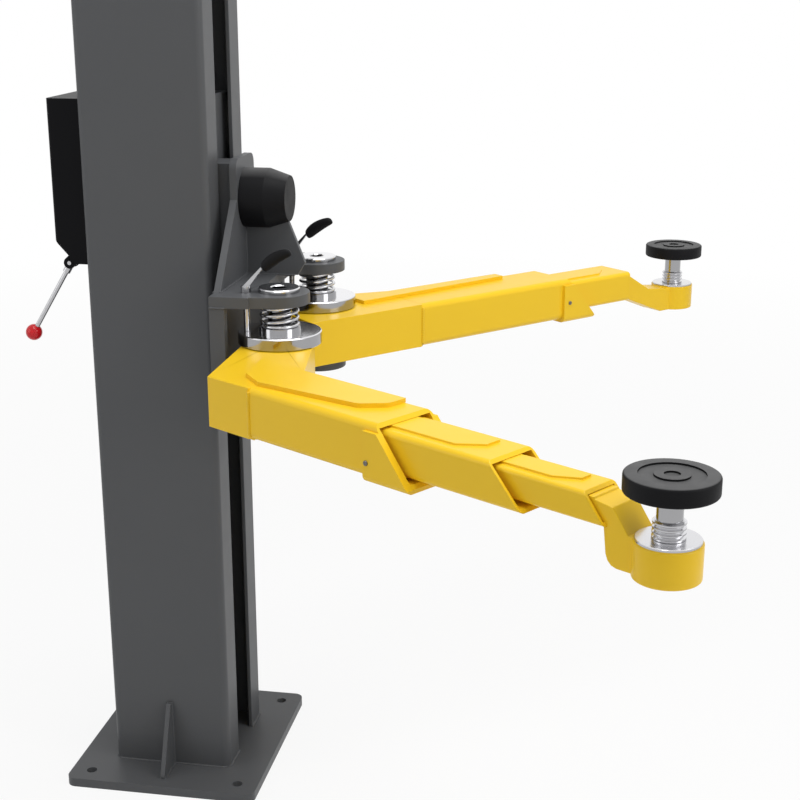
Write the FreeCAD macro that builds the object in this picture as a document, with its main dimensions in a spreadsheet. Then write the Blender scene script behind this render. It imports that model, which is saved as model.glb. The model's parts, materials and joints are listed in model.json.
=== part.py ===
import FreeCAD, Part
import math
import os
import Sketcher

doc = FreeCAD.newDocument("LiftPost")
sheet = doc.addObject("Spreadsheet::Sheet", "Sizes")
V = FreeCAD.Vector
UP = V(0, 0, 1)

# Driving sizes in millimetres and degrees. The origin is on the floor under the middle of the post,
# +X points to the car, -Y to the front arm and +Y to the rear arm.
SIZES = {
    # post and base
    "post_wide": 260, "post_deep": 260, "post_wall": 8, "post_lip": 75, "post_tall": 2800,
    "post_radius": 14, "base_wide": 460, "base_deep": 420, "base_thick": 20, "base_radius": 20,
    "anchor_bore": 22, "anchor_inset_along": 45, "anchor_inset_across": 40, "brace_tall": 150,
    "brace_deep": 70, "brace_thick": 10, "cap_thick": 8, "cap_margin": 4,
    # latch housing on the back of the post
    "housing_wide": 200, "housing_deep": 75, "housing_level": 1128, "housing_tall": 330,
    "housing_slant": 48, "housing_foot": 43, "housing_wall": 3, "housing_round": 8,
    "lug_thick": 5, "lug_radius": 12, "lug_apart": 18, "lug_out": 13, "lug_side": 80,
    "lever_angle": 31.6, "lever_long": 178, "lever_radius": 5, "socket_radius": 8, "socket_long": 24,
    "ball_radius": 17, "lever_eye": 9, "lever_pin": 4,
    # carriage
    "pin_forward": 277, "pin_side": 162, "arm_level": 1000, "ear_thick": 22, "ear_radius": 60,
    "ear_web": 78, "ear_back": 156, "ear_half": 234, "ear_fillet": 30, "plate_thick": 14,
    "side_thick": 20, "side_deep": 30, "box_half_deep": 107, "box_half_wide": 106, "box_wall": 8,
    "box_below": 150, "box_above": 460, "neck_half": 40, "neck_above": 330, "tower_foot": 199,
    "tower_neck": 66, "tower_neck_level": 160, "tower_tall": 240, "tower_round": 22,
    "gusset_thick": 12, "gusset_foot": 122, "gusset_head": 92, "gusset_tall": 88,
    "block_tall": 90, "block_inset": 20, "slide_gap": 0.6, "block_chamfer": 8,
    "bumper_radius": 60, "bumper_straight": 50, "bumper_tip": 46, "bumper_long": 92, "bumper_level": 258,
    # arm pins, springs and locks
    "pin_radius": 24, "pin_clear": 0.08, "pin_head": 41, "pin_head_thick": 9, "pin_eye": 15,
    "pin_eye_deep": 24, "pin_edge": 2, "pin_foot": 34, "pin_foot_thick": 7, "seat_gap": 0.3,
    "disc_radius": 82.5, "disc_thick": 25, "disc_edge": 2, "hub_radius": 41, "hub_thick": 9,
    "washer_thick": 14.7, "washer_radius": 46, "spring_tall": 45.4, "spring_radius": 36,
    "spring_wire": 3.1, "spring_turns": 3, "lock_reach": 64, "lock_angle": 18, "lock_radius": 6,
    "lock_knob": 10, "lock_knob_tall": 12, "lock_clear": 0.3, "lever_rise": 38, "lever_run": 34,
    "lever_strip": 4, "lever_strip_wide": 16, "grip_long": 66, "grip_wide": 20, "grip_tip": 13,
    "grip_thick": 12, "grip_round": 5, "grip_angle": 32,
    # arms
    "tube_1_wide": 135, "tube_1_tall": 95, "tube_1_wall": 7, "tube_2_wide": 108, "tube_2_tall": 71,
    "tube_3_wide": 78, "tube_3_tall": 47, "tube_wall": 6, "strip_thick": 4, "strip_point": 40,
    "strip_2_inset": 22, "strip_2_back": 45, "strip_3_inset": 16, "strip_3_back": 30,
    "slant_1": 80, "slant_2": 68, "slant_3": 40, "cheek_thick": 7, "cheek_lap": 20,
    "corner_1": 13, "corner_2": 10, "corner_3": 7, "elbow_angle": 56.6,
    "near_offset": 191, "near_seam": 200, "near_hollow": 100, "near_end": 510, "near_2_start": 270,
    "near_2_short": 295, "near_3_start": 520, "near_3_short": 125, "near_reach": 1033, "near_swing": -33.4,
    "far_offset": 60, "far_back": 100, "far_back_in": 90, "far_side": 78, "far_side_start": 50,
    "far_side_end": 47, "far_back_side": 23, "far_seam": 190, "far_hollow": 76, "far_end": 628,
    "far_2_start": 330, "far_2_short": 208, "far_reach": 1053, "far_swing": 47,
    # plates on top of the arm heads
    "cover_thick": 8, "cover_clear": 20, "cover_margin": 8, "cover_heel": 144, "cover_heel_in": 45,
    "cover_toe": 205, "cover_toe_in": 20, "cover_end": 462, "cover_taper": 36, "cover_taper_in": 48,
    "cover_tip": 18, "cover_round": 20, "far_cover_clear": 6, "far_cover_near": 50, "far_cover_tip": 30,
    "far_cover_side": 31, "far_cover_end": 505,
    # pads and their brackets
    "ring_radius": 51.5, "ring_drop": 75, "ring_tall": 58, "ring_bite": 41,
    "grip_in": 100, "block_wide": 48, "block_step": 6, "block_sink": 22, "block_shelf": 38,
    "block_rim": 6, "far_block_wide": 62, "far_step": 4, "far_slope": 90, "far_slope_rise": 6,
    "far_rim": 4, "far_heel": 30, "far_belly": 30, "far_belly_drop": 14,
    "sleeve_radius": 26, "sleeve_clear": 0.3, "sleeve_above": 42, "sleeve_below": 4,
    "flange_radius": 47, "flange_thick": 4, "shaft_radius": 19.5, "pad_level": 26, "pad_radius": 70,
    "pad_thick": 29, "dish_radius": 60, "dish_thick": 6, "pad_round": 5,
    "thread_start": 3.6, "thread_pitch": 9, "thread_deep": 3, "thread_wide": 5.4, "thread_floor": 1.8,
    "thread_count": 4, "groove_outer": 35, "groove_inner": 18.5, "groove_half": 3, "groove_slope": 1.5,
    "groove_deep": 3, "dimple_radius": 9,
}

# How near an edge lies to the face on which it is sought, in millimetres.
CLOSE = 1

for row, (name, value) in enumerate(SIZES.items(), start=1):
    cell = "A%d" % row
    sheet.set(cell, str(value))
    sheet.setAlias(cell, name)
doc.recompute()


def size(name):
    return float(getattr(sheet, name))


def bound(text):
    # Turn a formula in size names into a formula on the sheet's cells.
    words = []
    word = ""
    for mark in text + " ":
        if mark.isalnum() or mark == "_":
            word += mark
            continue
        words.append("Sizes." + word if word in SIZES else word)
        words.append(mark)
        word = ""
    return "".join(words).strip()


def worth(text):
    # The present value of a formula in size names.
    return float(sheet.evalExpression(bound(text)))


def new_body(name):
    body = doc.addObject("PartDesign::Body", name)
    body.Label = name
    return body


def new_sketch(body, plane, offset="0"):
    sketch = body.newObject("Sketcher::SketchObject", body.Name + "_sketch")
    origin = [item for item in body.Origin.OriginFeatures if item.Role == plane + "_Plane"][0]
    sketch.AttachmentSupport = [(origin, "")]
    sketch.MapMode = "FlatFace"
    sketch.setExpression("AttachmentOffset.Base.z", "(" + bound(offset) + ") * 1 mm")
    return sketch


def bind_point(sketch, geometry, end, place):
    for kind, text in (("DistanceX", place[0]), ("DistanceY", place[1])):
        index = sketch.addConstraint(Sketcher.Constraint(kind, -1, 1, geometry, end, worth(text)))
        sketch.setExpression("Constraints[%d]" % index, bound(text))


def outline(sketch, places):
    # A closed outline with every corner tied to the sheet.
    numbers = [V(worth(across), worth(along), 0) for across, along in places]
    first = sketch.GeometryCount
    count = len(places)
    for index in range(count):
        sketch.addGeometry(Part.LineSegment(numbers[index], numbers[(index + 1) % count]), False)
    for index in range(count):
        following = first + (index + 1) % count
        sketch.addConstraint(Sketcher.Constraint("Coincident", first + index, 2, following, 1))
    for index, place in enumerate(places):
        bind_point(sketch, first + index, 1, place)


def ring(sketch, centre, radius):
    middle = V(worth(centre[0]), worth(centre[1]), 0)
    index = sketch.addGeometry(Part.Circle(middle, UP, worth(radius)), False)
    bind_point(sketch, index, 3, centre)
    place = sketch.addConstraint(Sketcher.Constraint("Radius", index, worth(radius)))
    sketch.setExpression("Constraints[%d]" % place, bound(radius))


def pad(body, sketch, length, both=False, back=False):
    feature = body.newObject("PartDesign::Pad", body.Name + "_pad")
    feature.Profile = sketch
    feature.setExpression("Length", bound(length))
    if both:
        feature.SideType = "Symmetric"
    feature.Reversed = back
    sketch.Visibility = False
    doc.recompute()
    return feature


def pocket(body, sketch, length, both=False, back=False):
    before = body.Shape.Volume
    feature = body.newObject("PartDesign::Pocket", body.Name + "_pocket")
    feature.Profile = sketch
    feature.setExpression("Length", bound(length))
    if both:
        feature.SideType = "Symmetric"
    feature.Reversed = back
    doc.recompute()
    if body.Shape.Volume >= before:
        raise ValueError("a pocket in %s cuts nothing" % body.Label)
    return feature


def spin(body, sketch):
    # A full turn about the sketch's own upright axis.
    feature = body.newObject("PartDesign::Revolution", body.Name + "_turn")
    feature.Profile = sketch
    feature.ReferenceAxis = (sketch, ["V_Axis"])
    feature.Angle = 360
    doc.recompute()
    return feature


def edges_along(shape, direction, chosen):
    names = []
    for number, edge in enumerate(shape.Edges, start=1):
        if edge.Curve.TypeId != "Part::GeomLine":
            continue
        start, end = edge.Vertexes[0].Point, edge.Vertexes[-1].Point
        if abs((end - start).normalize().dot(direction)) > 0.999 and chosen(edge.CenterOfMass):
            names.append("Edge%d" % number)
    return names


def round_edges(body, direction, radius, chosen=lambda middle: True, kind="Fillet"):
    base = body.Tip
    names = edges_along(base.Shape, direction, chosen)
    if not names:
        raise ValueError("no edge to round in %s" % body.Label)
    feature = body.newObject("PartDesign::" + kind, body.Name + "_" + kind.lower())
    feature.Base = (base, names)
    feature.setExpression("Radius" if kind == "Fillet" else "Size", bound(radius))
    doc.recompute()
    return feature


def rectangle(left, right, low, high):
    return [(left, low), (right, low), (right, high), (left, high)]


def set_at(body, along, across, level, turn="0"):
    body.Placement = FreeCAD.Placement(V(worth(along), worth(across), worth(level)),
                                       FreeCAD.Rotation(UP, worth(turn)))


def bolt_bore(body, centre, radius, low, tall):
    sketch = new_sketch(body, "XY", low)
    ring(sketch, centre, radius)
    return pocket(body, sketch, tall, back=True)


# Post: a folded C channel open to the car, welded to its base plate, with a cap on top.
def make_post():
    body = new_body("post_channel")
    sketch = new_sketch(body, "XY", "base_thick")
    half, deep, lip = "post_wide / 2", "post_deep / 2", "post_wide / 2 - post_lip"
    wall = "post_wall"
    outline(sketch, [
        ("-" + deep, "-" + half), (deep, "-" + half), (deep, "-(" + lip + ")"),
        (deep + " - " + wall, "-(" + lip + ")"), (deep + " - " + wall, "-" + half + " + " + wall),
        ("-" + deep + " + " + wall, "-" + half + " + " + wall),
        ("-" + deep + " + " + wall, half + " - " + wall), (deep + " - " + wall, half + " - " + wall),
        (deep + " - " + wall, lip), (deep, lip), (deep, half), ("-" + deep, half)])
    pad(body, sketch, "post_tall")
    outer = size("post_wide") / 2 - CLOSE
    round_edges(body, UP, "post_radius", lambda at: abs(at.y) > outer)
    inner = size("post_wide") / 2 - size("post_wall") - CLOSE
    round_edges(body, UP, "post_radius - post_wall",
                lambda at: inner < abs(at.y) < outer and abs(at.x) < size("post_deep") / 2 - 2 * CLOSE)

    body = new_body("base_plate")
    sketch = new_sketch(body, "XY")
    outline(sketch, rectangle("-base_deep / 2", "base_deep / 2", "-base_wide / 2", "base_wide / 2"))
    pad(body, sketch, "base_thick")
    sketch = new_sketch(body, "XY")
    for along in ("-", ""):
        for across in ("-", ""):
            place = (along + "(base_deep / 2 - anchor_inset_along)",
                     across + "(base_wide / 2 - anchor_inset_across)")
            ring(sketch, place, "anchor_bore / 2")
    pocket(body, sketch, "base_thick", back=True)
    round_edges(body, UP, "base_radius")

    for name, side in (("near_base_brace", "-"), ("far_base_brace", "")):
        body = new_body(name)
        sketch = new_sketch(body, "YZ")
        start = side + "(post_wide / 2)"
        outline(sketch, [(start, "base_thick"), (side + "(post_wide / 2 + brace_deep)", "base_thick"),
                         (side + "(post_wide / 2 + brace_deep)", "base_thick + brace_thick"),
                         (side + "(post_wide / 2 + brace_thick)", "base_thick + brace_tall"),
                         (start, "base_thick + brace_tall")])
        pad(body, sketch, "brace_thick", both=True)

    body = new_body("post_cap")
    sketch = new_sketch(body, "XY", "base_thick + post_tall")
    outline(sketch, rectangle("-post_deep / 2 - cap_margin", "post_deep / 2 + cap_margin",
                              "-post_wide / 2 - cap_margin", "post_wide / 2 + cap_margin"))
    pad(body, sketch, "cap_thick")
    round_edges(body, UP, "post_radius")


# Latch housing on the back of the post, with a hand lever between two lugs on its slanted foot.
def lever_pivot():
    slant_long = math.hypot(size("housing_slant"), size("housing_foot"))
    out = V(-size("housing_slant") / slant_long, 0, -size("housing_foot") / slant_long)
    back = -size("post_deep") / 2
    up_slant = V(out.z, 0, -out.x)
    foot = V(back - size("housing_deep") + size("housing_foot"), -size("lug_side"), size("housing_level"))
    return foot + up_slant * size("lug_radius") + out * size("lug_out"), out


def make_latch():
    body = new_body("latch_housing")
    sketch = new_sketch(body, "XZ")
    back, face = "-post_deep / 2", "-post_deep / 2 - housing_deep"
    outline(sketch, [(back, "housing_level"), (face + " + housing_foot", "housing_level"),
                     (face, "housing_level + housing_slant"), (face, "housing_level + housing_tall"),
                     (back, "housing_level + housing_tall")])
    pad(body, sketch, "housing_wide", both=True)
    round_edges(body, UP, "housing_round", lambda at: at.x < -size("post_deep") / 2 - CLOSE)
    sketch = new_sketch(body, "YZ", back)
    half = "housing_wide / 2 - housing_wall"
    outline(sketch, rectangle("-(" + half + ")", half, "housing_level + housing_slant",
                              "housing_level + housing_tall - housing_wall"))
    pocket(body, sketch, "housing_deep - housing_wall", back=False)

    pivot, out = lever_pivot()
    for name, side in (("near_lever_lug", -1), ("far_lever_lug", 1)):
        lug = doc.addObject("Part::Feature", name)
        lug.Label = name
        radius, thick = size("lug_radius"), size("lug_thick")
        start = pivot + V(0, side * size("lug_apart") / 2, 0) + V(0, -thick / 2 + side * thick / 2, 0)
        eye = Part.makeCylinder(radius, thick, start, V(0, 1, 0))
        web = Part.makeBox(size("lug_out"), thick, 2 * radius)
        turn = FreeCAD.Rotation(V(1, 0, 0), V(-out.x, 0, -out.z))
        web.translate(V(0, 0, -radius))
        web.Placement = FreeCAD.Placement(start, turn).multiply(web.Placement)
        bore = Part.makeCylinder(size("lever_pin") + size("pin_clear"), thick, start, V(0, 1, 0))
        lug.Shape = eye.fuse(web).removeSplitter().cut(bore)

    lean = math.radians(size("lever_angle"))
    way = V(-math.sin(lean), 0, -math.cos(lean))
    eye_wide = size("lug_apart") - 2 * size("slide_gap")
    rod = doc.addObject("Part::Feature", "latch_lever")
    rod.Label = "latch_lever"
    eye = Part.makeCylinder(size("lever_eye"), eye_wide, pivot - V(0, eye_wide / 2, 0), V(0, 1, 0))
    pin_long = size("lug_apart") + 2 * size("lug_thick")
    pin = Part.makeCylinder(size("lever_pin"), pin_long, pivot - V(0, pin_long / 2, 0), V(0, 1, 0))
    socket = Part.makeCylinder(size("socket_radius"), size("socket_long"), pivot, way)
    stem = Part.makeCylinder(size("lever_radius"), size("lever_long"), pivot, way)
    rod.Shape = eye.fuse([pin, socket, stem]).removeSplitter()
    ball = doc.addObject("Part::Feature", "latch_ball")
    ball.Label = "latch_ball"
    centre = pivot + way * size("lever_long")
    knob = Part.makeSphere(size("ball_radius"), centre, way)
    gap = size("seat_gap")
    hole = Part.makeCylinder(size("lever_radius") + gap, size("lever_long") + gap, pivot, way)
    ball.Shape = knob.cut(hole)


# Carriage: a box inside the post, a neck through its slot, and the ears that hold the arm pins.
def make_carriage():
    body = new_body("carriage_box")
    low = "arm_level - box_below"
    sketch = new_sketch(body, "XY", low)
    outline(sketch, rectangle("-box_half_deep", "box_half_deep", "-box_half_wide", "box_half_wide"))
    pad(body, sketch, "box_below + box_above")
    sketch = new_sketch(body, "XY", LOWER)
    outline(sketch, rectangle("box_half_deep - box_wall / 2", "ear_back", "-neck_half", "neck_half"))
    pad(body, sketch, "arm_level + neck_above - (" + LOWER + ")")
    sketch = new_sketch(body, "XY", low)
    outline(sketch, rectangle("-box_half_deep + box_wall", "box_half_deep - box_wall",
                              "-box_half_wide + box_wall", "box_half_wide - box_wall"))
    pocket(body, sketch, "box_below + box_above", back=True)

    body = new_body("carriage_plate")
    sketch = new_sketch(body, "XY", LOWER + " + ear_thick")
    outline(sketch, rectangle("ear_back", "ear_back + plate_thick", "-ear_half + side_thick",
                              "ear_half - side_thick"))
    pad(body, sketch, UPPER + " - (" + LOWER + " + ear_thick)")

    for name, side in (("near_side_plate", "-"), ("far_side_plate", "")):
        body = new_body(name)
        sketch = new_sketch(body, "XY", LOWER + " + ear_thick")
        outline(sketch, rectangle("ear_back", "ear_back + side_deep", side + "(ear_half - side_thick)",
                                  side + "ear_half"))
        pad(body, sketch, UPPER + " - (" + LOWER + " + ear_thick)")

    for name, level in (("lower_ear", LOWER), ("upper_ear", UPPER)):
        body = new_body(name)
        sketch = new_sketch(body, "XY", level)
        outline(sketch, rectangle("ear_back", "ear_back + ear_web", "-ear_half", "ear_half"))
        pad(body, sketch, "ear_thick")
        for side in ("-", ""):
            sketch = new_sketch(body, "XY", level)
            outline(sketch, [("ear_back + ear_web / 2", side + "(pin_side - ear_radius)"),
                             ("pin_forward", side + "(pin_side - ear_radius)"),
                             ("pin_forward", side + "(pin_side + ear_radius)"),
                             ("ear_back + ear_web / 2", side + "ear_half")])
            pad(body, sketch, "ear_thick")
            sketch = new_sketch(body, "XY", level)
            ring(sketch, ("pin_forward", side + "pin_side"), "ear_radius")
            pad(body, sketch, "ear_thick")
        inner = size("pin_side") - size("ear_radius")
        round_edges(body, UP, "ear_fillet",
                    lambda at: abs(abs(at.y) - inner) < CLOSE and at.x < size("pin_forward") - CLOSE)
        for side in ("-", ""):
            bolt_bore(body, ("pin_forward", side + "pin_side"), "pin_radius + pin_clear", level, "ear_thick")
            if name == "upper_ear":
                bolt_bore(body, lock_place(side), "lock_radius + lock_clear", level, "ear_thick")

    body = new_body("tower_plate")
    sketch = new_sketch(body, "YZ", "ear_back")
    top = TOP
    outline(sketch, [("-tower_foot", top), ("tower_foot", top),
                     ("tower_neck", top + " + tower_neck_level"), ("tower_neck", top + " + tower_tall"),
                     ("-tower_neck", top + " + tower_tall"), ("-tower_neck", top + " + tower_neck_level")])
    pad(body, sketch, "plate_thick")
    round_edges(body, V(1, 0, 0), "tower_round",
                lambda at: at.z > worth(TOP) + size("tower_tall") - CLOSE)

    body = new_body("tower_gusset")
    sketch = new_sketch(body, "XZ")
    start = "ear_back + plate_thick"
    outline(sketch, [(start, top), (start + " + gusset_foot", top),
                     (start + " + gusset_head", top + " + gusset_tall"), (start, top + " + gusset_tall")])
    pad(body, sketch, "gusset_thick", both=True)

    reach = "post_wide / 2 - post_wall - slide_gap"
    for side, word in (("-", "near"), ("", "far")):
        for level, part in (("arm_level + box_above - block_inset - block_tall", "upper"),
                            ("arm_level - box_below + block_inset", "lower")):
            body = new_body("%s_%s_slide_block" % (word, part))
            sketch = new_sketch(body, "XY", level)
            deep = "post_deep / 2 - post_wall - slide_gap"
            outline(sketch, rectangle("-(" + deep + ")", deep, side + "box_half_wide",
                                      side + "(" + reach + ")"))
            pad(body, sketch, "block_tall")
            limit = worth(reach) - CLOSE
            round_edges(body, UP, "block_chamfer", lambda at: abs(at.y) > limit, "Chamfer")

    body = new_body("door_bumper")
    sketch = new_sketch(body, "XY")
    outline(sketch, [("0", "0"), ("bumper_radius", "0"), ("bumper_radius", "bumper_straight"),
                     ("bumper_tip", "bumper_long"), ("0", "bumper_long")])
    spin(body, sketch)
    body.Placement = FreeCAD.Placement(
        V(size("ear_back") + size("plate_thick"), 0, size("arm_level") + size("bumper_level")),
        FreeCAD.Rotation(UP, -90))


def lock_place(side):
    # The lock rod stands beside its pin, towards the post.
    return ("pin_forward - lock_reach * cos(lock_angle * 1 deg)",
            side + "(pin_side + lock_reach * sin(lock_angle * 1 deg))")


# Levels of the ears, from the stack of disc, hub and spring above the arm and the washer below it.
UPPER = "arm_level + disc_thick + hub_thick + spring_tall + 2 * seat_gap"
TOP = UPPER + " + ear_thick"
LOWER = "arm_level - tube_1_tall - washer_thick - seat_gap - ear_thick"
SPRING_FOOT = "arm_level + disc_thick + hub_thick + seat_gap"


def make_pins():
    for word, side in (("near", "-"), ("far", "")):
        body = new_body(word + "_arm_pin")
        sketch = new_sketch(body, "XZ")
        head = TOP
        foot = LOWER
        outline(sketch, [
            ("0", foot + " - pin_foot_thick"), ("pin_foot", foot + " - pin_foot_thick"),
            ("pin_foot", foot), ("pin_radius", foot), ("pin_radius", head), ("pin_head", head),
            ("pin_head", head + " + pin_head_thick - pin_edge"),
            ("pin_head - pin_edge", head + " + pin_head_thick"),
            ("pin_eye + pin_edge", head + " + pin_head_thick"),
            ("pin_eye", head + " + pin_head_thick - pin_edge"),
            ("pin_eye", head + " + pin_head_thick - pin_eye_deep"),
            ("0", head + " + pin_head_thick - pin_eye_deep")])
        spin(body, sketch)
        set_at(body, "pin_forward", side + "pin_side", "0")


def make_springs():
    # Each coil is a row of half turns that lean to one side and the other in turn, so that they meet in line.
    # The first and the last half turn lie flat and close the coil.
    radius, wire = size("spring_radius"), size("spring_wire")
    halves = 2 * round(size("spring_turns"))
    rise = (size("spring_tall") - 2 * wire) / halves
    slope = math.degrees(math.atan(rise / 2 / radius))
    for word, side in (("near", "-"), ("far", "")):
        foot = V(size("pin_forward"), worth(side + "pin_side"), worth(SPRING_FOOT) + wire)
        turns = []
        for index in range(-1, halves + 1):
            climbs = 0 <= index < halves
            step = max(index, 0)
            facing = FreeCAD.Rotation(UP, 180 * index)
            wire_end = doc.addObject("Part::Circle", word + "_wire_end")
            wire_end.setExpression("Radius", bound("spring_wire"))
            wire_end.Placement = FreeCAD.Placement(
                foot + facing.multVec(V(radius, 0, 0)) + UP * (step * rise),
                facing * FreeCAD.Rotation(V(1, 0, 0), 90) * FreeCAD.Rotation(UP, 2 * slope * step))
            turn = doc.addObject("Part::Revolution", word + "_half_turn")
            turn.Source = wire_end
            turn.Base = foot + UP * ((step + 0.5 * climbs) * rise)
            turn.Axis = facing.multVec(FreeCAD.Rotation(V(0, 1, 0), slope * climbs).multVec(UP))
            turn.Angle = 180
            turn.Solid = True
            turns.append(turn)
        coil = doc.addObject("Part::MultiFuse", word + "_pin_spring")
        coil.Label = word + "_pin_spring"
        coil.Shapes = turns
        doc.recompute()


def make_locks():
    # A rod through the upper ear rests on the disc; a bent strip and a grip lift it.
    lean = math.radians(size("grip_angle"))
    along, rise = math.cos(lean), math.sin(lean)
    half_in = "lever_strip / 2 * sin(grip_angle * 1 deg)"
    half_up = "lever_strip / 2 * cos(grip_angle * 1 deg)"
    base = TOP + " + seat_gap + lock_knob_tall"
    for word, side in (("near", "-"), ("far", "")):
        centre = lock_place(side)
        foot = "arm_level + disc_thick + seat_gap"
        body = new_body(word + "_lock_rod")
        sketch = new_sketch(body, "XY", foot)
        ring(sketch, ("0", "0"), "lock_radius")
        pad(body, sketch, base + " - (" + foot + ")")
        sketch = new_sketch(body, "XY", TOP + " + seat_gap")
        ring(sketch, ("0", "0"), "lock_knob")
        pad(body, sketch, "lock_knob_tall")
        sketch = new_sketch(body, "XZ")
        outline(sketch, [
            ("-lock_knob / 2", base + " - lever_strip"), ("lock_knob / 2", base + " - lever_strip"),
            ("lever_run + " + half_in, base + " + lever_rise - " + half_up),
            ("lever_run - " + half_in, base + " + lever_rise + " + half_up), ("-lock_knob / 2", base)])
        pad(body, sketch, "lever_strip_wide", both=True)
        set_at(body, centre[0], centre[1], "0")

        grip = new_body(word + "_lock_grip")
        sketch = new_sketch(grip, "XZ")
        outline(sketch, [("0", "-grip_wide / 2"), ("grip_long", "-grip_tip / 2"),
                         ("grip_long", "grip_tip / 2"), ("0", "grip_wide / 2")])
        pad(grip, sketch, "grip_thick", both=True)
        round_edges(grip, V(0, 1, 0), "grip_round")
        start = V(worth(centre[0]) + size("lever_run"), worth(centre[1]), worth(base) + size("lever_rise"))
        start += V(along, 0, rise) * size("seat_gap")
        grip.Placement = FreeCAD.Placement(start, FreeCAD.Rotation(V(0, 1, 0), -size("grip_angle")))


# Arm sections: square tubes with a wear strip on top, cut off on a slant at the outer end.
def make_tube(name, tube, drop, wall, corner, start, end, slant, offset, strip=None, cheek=False):
    body = new_body(name)
    wide, tall = tube + "_wide", tube + "_tall"
    axis = "-" + offset
    tip = end + " + " + slant
    top, bottom = "-(" + drop + ")", "-(" + drop + " + " + tall + ")"
    sketch = new_sketch(body, "YZ", start)
    outline(sketch, rectangle(axis + " - " + wide + " / 2", axis + " + " + wide + " / 2", bottom, top))
    pad(body, sketch, tip + " - (" + start + ")")
    round_edges(body, V(1, 0, 0), corner)
    if strip:
        sketch = new_sketch(body, "XY", top)
        inset, stop = strip
        near = axis + " - " + wide + " / 2 + " + inset
        far = axis + " + " + wide + " / 2 - " + inset
        outline(sketch, [(start, near), (stop + " - strip_point", near), (stop, axis), (stop, far),
                         (start, far)])
        pad(body, sketch, "strip_thick")
    if cheek:
        low, high = bottom + " - cheek_thick", top + " - " + corner
        sketch = new_sketch(body, "XZ", offset)
        outline(sketch, rectangle(end + " - cheek_lap", tip, low, high))
        pad(body, sketch, wide + " + 2 * cheek_thick", both=True)
        edge = worth(low) + CLOSE
        round_edges(body, V(1, 0, 0), corner, lambda at: at.z < edge)
    if slant != "0":
        sketch = new_sketch(body, "XZ", offset)
        past = tip + " + strip_point"
        high, low = top + " + 2 * strip_thick", bottom + " - 2 * cheek_thick"
        outline(sketch, [(end, high), (past, high), (past, low), (tip, low), (tip, bottom), (end, top)])
        pocket(body, sketch, "2 * tube_1_wide", both=True)
    sketch = new_sketch(body, "YZ", start)
    outline(sketch, rectangle(axis + " - " + wide + " / 2 + " + wall, axis + " + " + wide + " / 2 - " + wall,
                              bottom + " + " + wall, top + " - " + wall))
    pocket(body, sketch, tip + " + strip_point - (" + start + ")", back=True)
    return body


def arm_at(body, word):
    side = "-" if word == "near" else ""
    set_at(body, "pin_forward", side + "pin_side", "arm_level", word + "_swing")


def make_heads():
    # Near head: an elbow that steps the arm forward of its pin.
    body = new_body("near_arm_head")
    turn = "elbow_angle * 1 deg"
    half = "tube_1_wide / 2"
    side_near, side_far = "-(near_offset + " + half + ")", "-(near_offset - " + half + ")"
    corner = "((near_offset + " + half + ") * cos(" + turn + ") - " + half + ") / sin(" + turn + ")"
    sketch = new_sketch(body, "XY", "-tube_1_tall")
    outline(sketch, [("-" + half + " * sin(" + turn + ")", "-" + half + " * cos(" + turn + ")"),
                     (corner, side_near), ("near_seam", side_near), ("near_seam", side_far),
                     (half + " * sin(" + turn + ")", half + " * cos(" + turn + ")")])
    pad(body, sketch, "tube_1_tall")
    sketch = new_sketch(body, "XY", "-tube_1_tall")
    ring(sketch, ("0", "0"), half)
    pad(body, sketch, "tube_1_tall")
    head_finish(body, "near", "near_seam", "near_offset", "near_hollow")

    # Far head: a block about the pin, wider than the tube that leaves it.
    body = new_body("far_arm_head")
    side_near, side_far = "-(far_offset + " + half + ")", "-(far_offset - " + half + ")"
    sketch = new_sketch(body, "XY", "-tube_1_tall")
    outline(sketch, [("-far_back", side_near), ("far_seam", side_near), ("far_seam", side_far),
                     ("far_side_end", "far_side"), ("-far_side_start", "far_side"),
                     ("-far_back_in", "far_back_side")])
    pad(body, sketch, "tube_1_tall")
    head_finish(body, "far", "far_seam", "far_offset", "far_hollow")


def head_finish(body, word, seam, offset, deep):
    wall = "tube_1_wall"
    sketch = new_sketch(body, "YZ", seam)
    outline(sketch, rectangle("-" + offset + " - tube_1_wide / 2 + " + wall,
                              "-" + offset + " + tube_1_wide / 2 - " + wall,
                              "-tube_1_tall + " + wall, "-" + wall))
    pocket(body, sketch, deep)
    bolt_bore(body, ("0", "0"), "pin_radius + pin_clear", "-tube_1_tall", "tube_1_tall")
    arm_at(body, word)


def make_top_plates():
    half = "tube_1_wide / 2"
    turn = "elbow_angle * 1 deg"
    side_near = "-(near_offset + " + half + ")"
    side_far = "-near_offset + " + half + " - cover_margin"
    body = new_body("near_arm_top_plate")
    sketch = new_sketch(body, "XY", "0")
    outline(sketch, [("disc_radius * cos(" + turn + ") + cover_clear",
                      "-disc_radius * sin(" + turn + ") - cover_clear"),
                     ("cover_heel", side_near + " + cover_heel_in"),
                     ("cover_toe", side_near + " + cover_toe_in"),
                     ("cover_end - cover_taper", side_near + " + cover_taper_in"),
                     ("cover_end", "-near_offset + cover_tip"), ("cover_end", side_far),
                     ("near_seam", side_far)])
    pad(body, sketch, "cover_thick")
    tip = size("cover_end") - size("cover_taper") - CLOSE
    middle = size("cover_tip") - size("near_offset") + CLOSE
    round_edges(body, UP, "cover_round", lambda at: at.x > tip and at.y < middle)
    arm_at(body, "near")

    body = new_body("far_arm_top_plate")
    sketch = new_sketch(body, "XY", "0")
    side_far = "-far_offset + " + half + " - cover_margin"
    start = "disc_radius + far_cover_clear"
    outline(sketch, [(start, "-far_cover_near"), ("far_cover_end", "-far_cover_tip"),
                     ("far_cover_end", side_far), ("far_seam", side_far), (start, "far_cover_side")])
    pad(body, sketch, "cover_thick")
    arm_at(body, "far")


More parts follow.
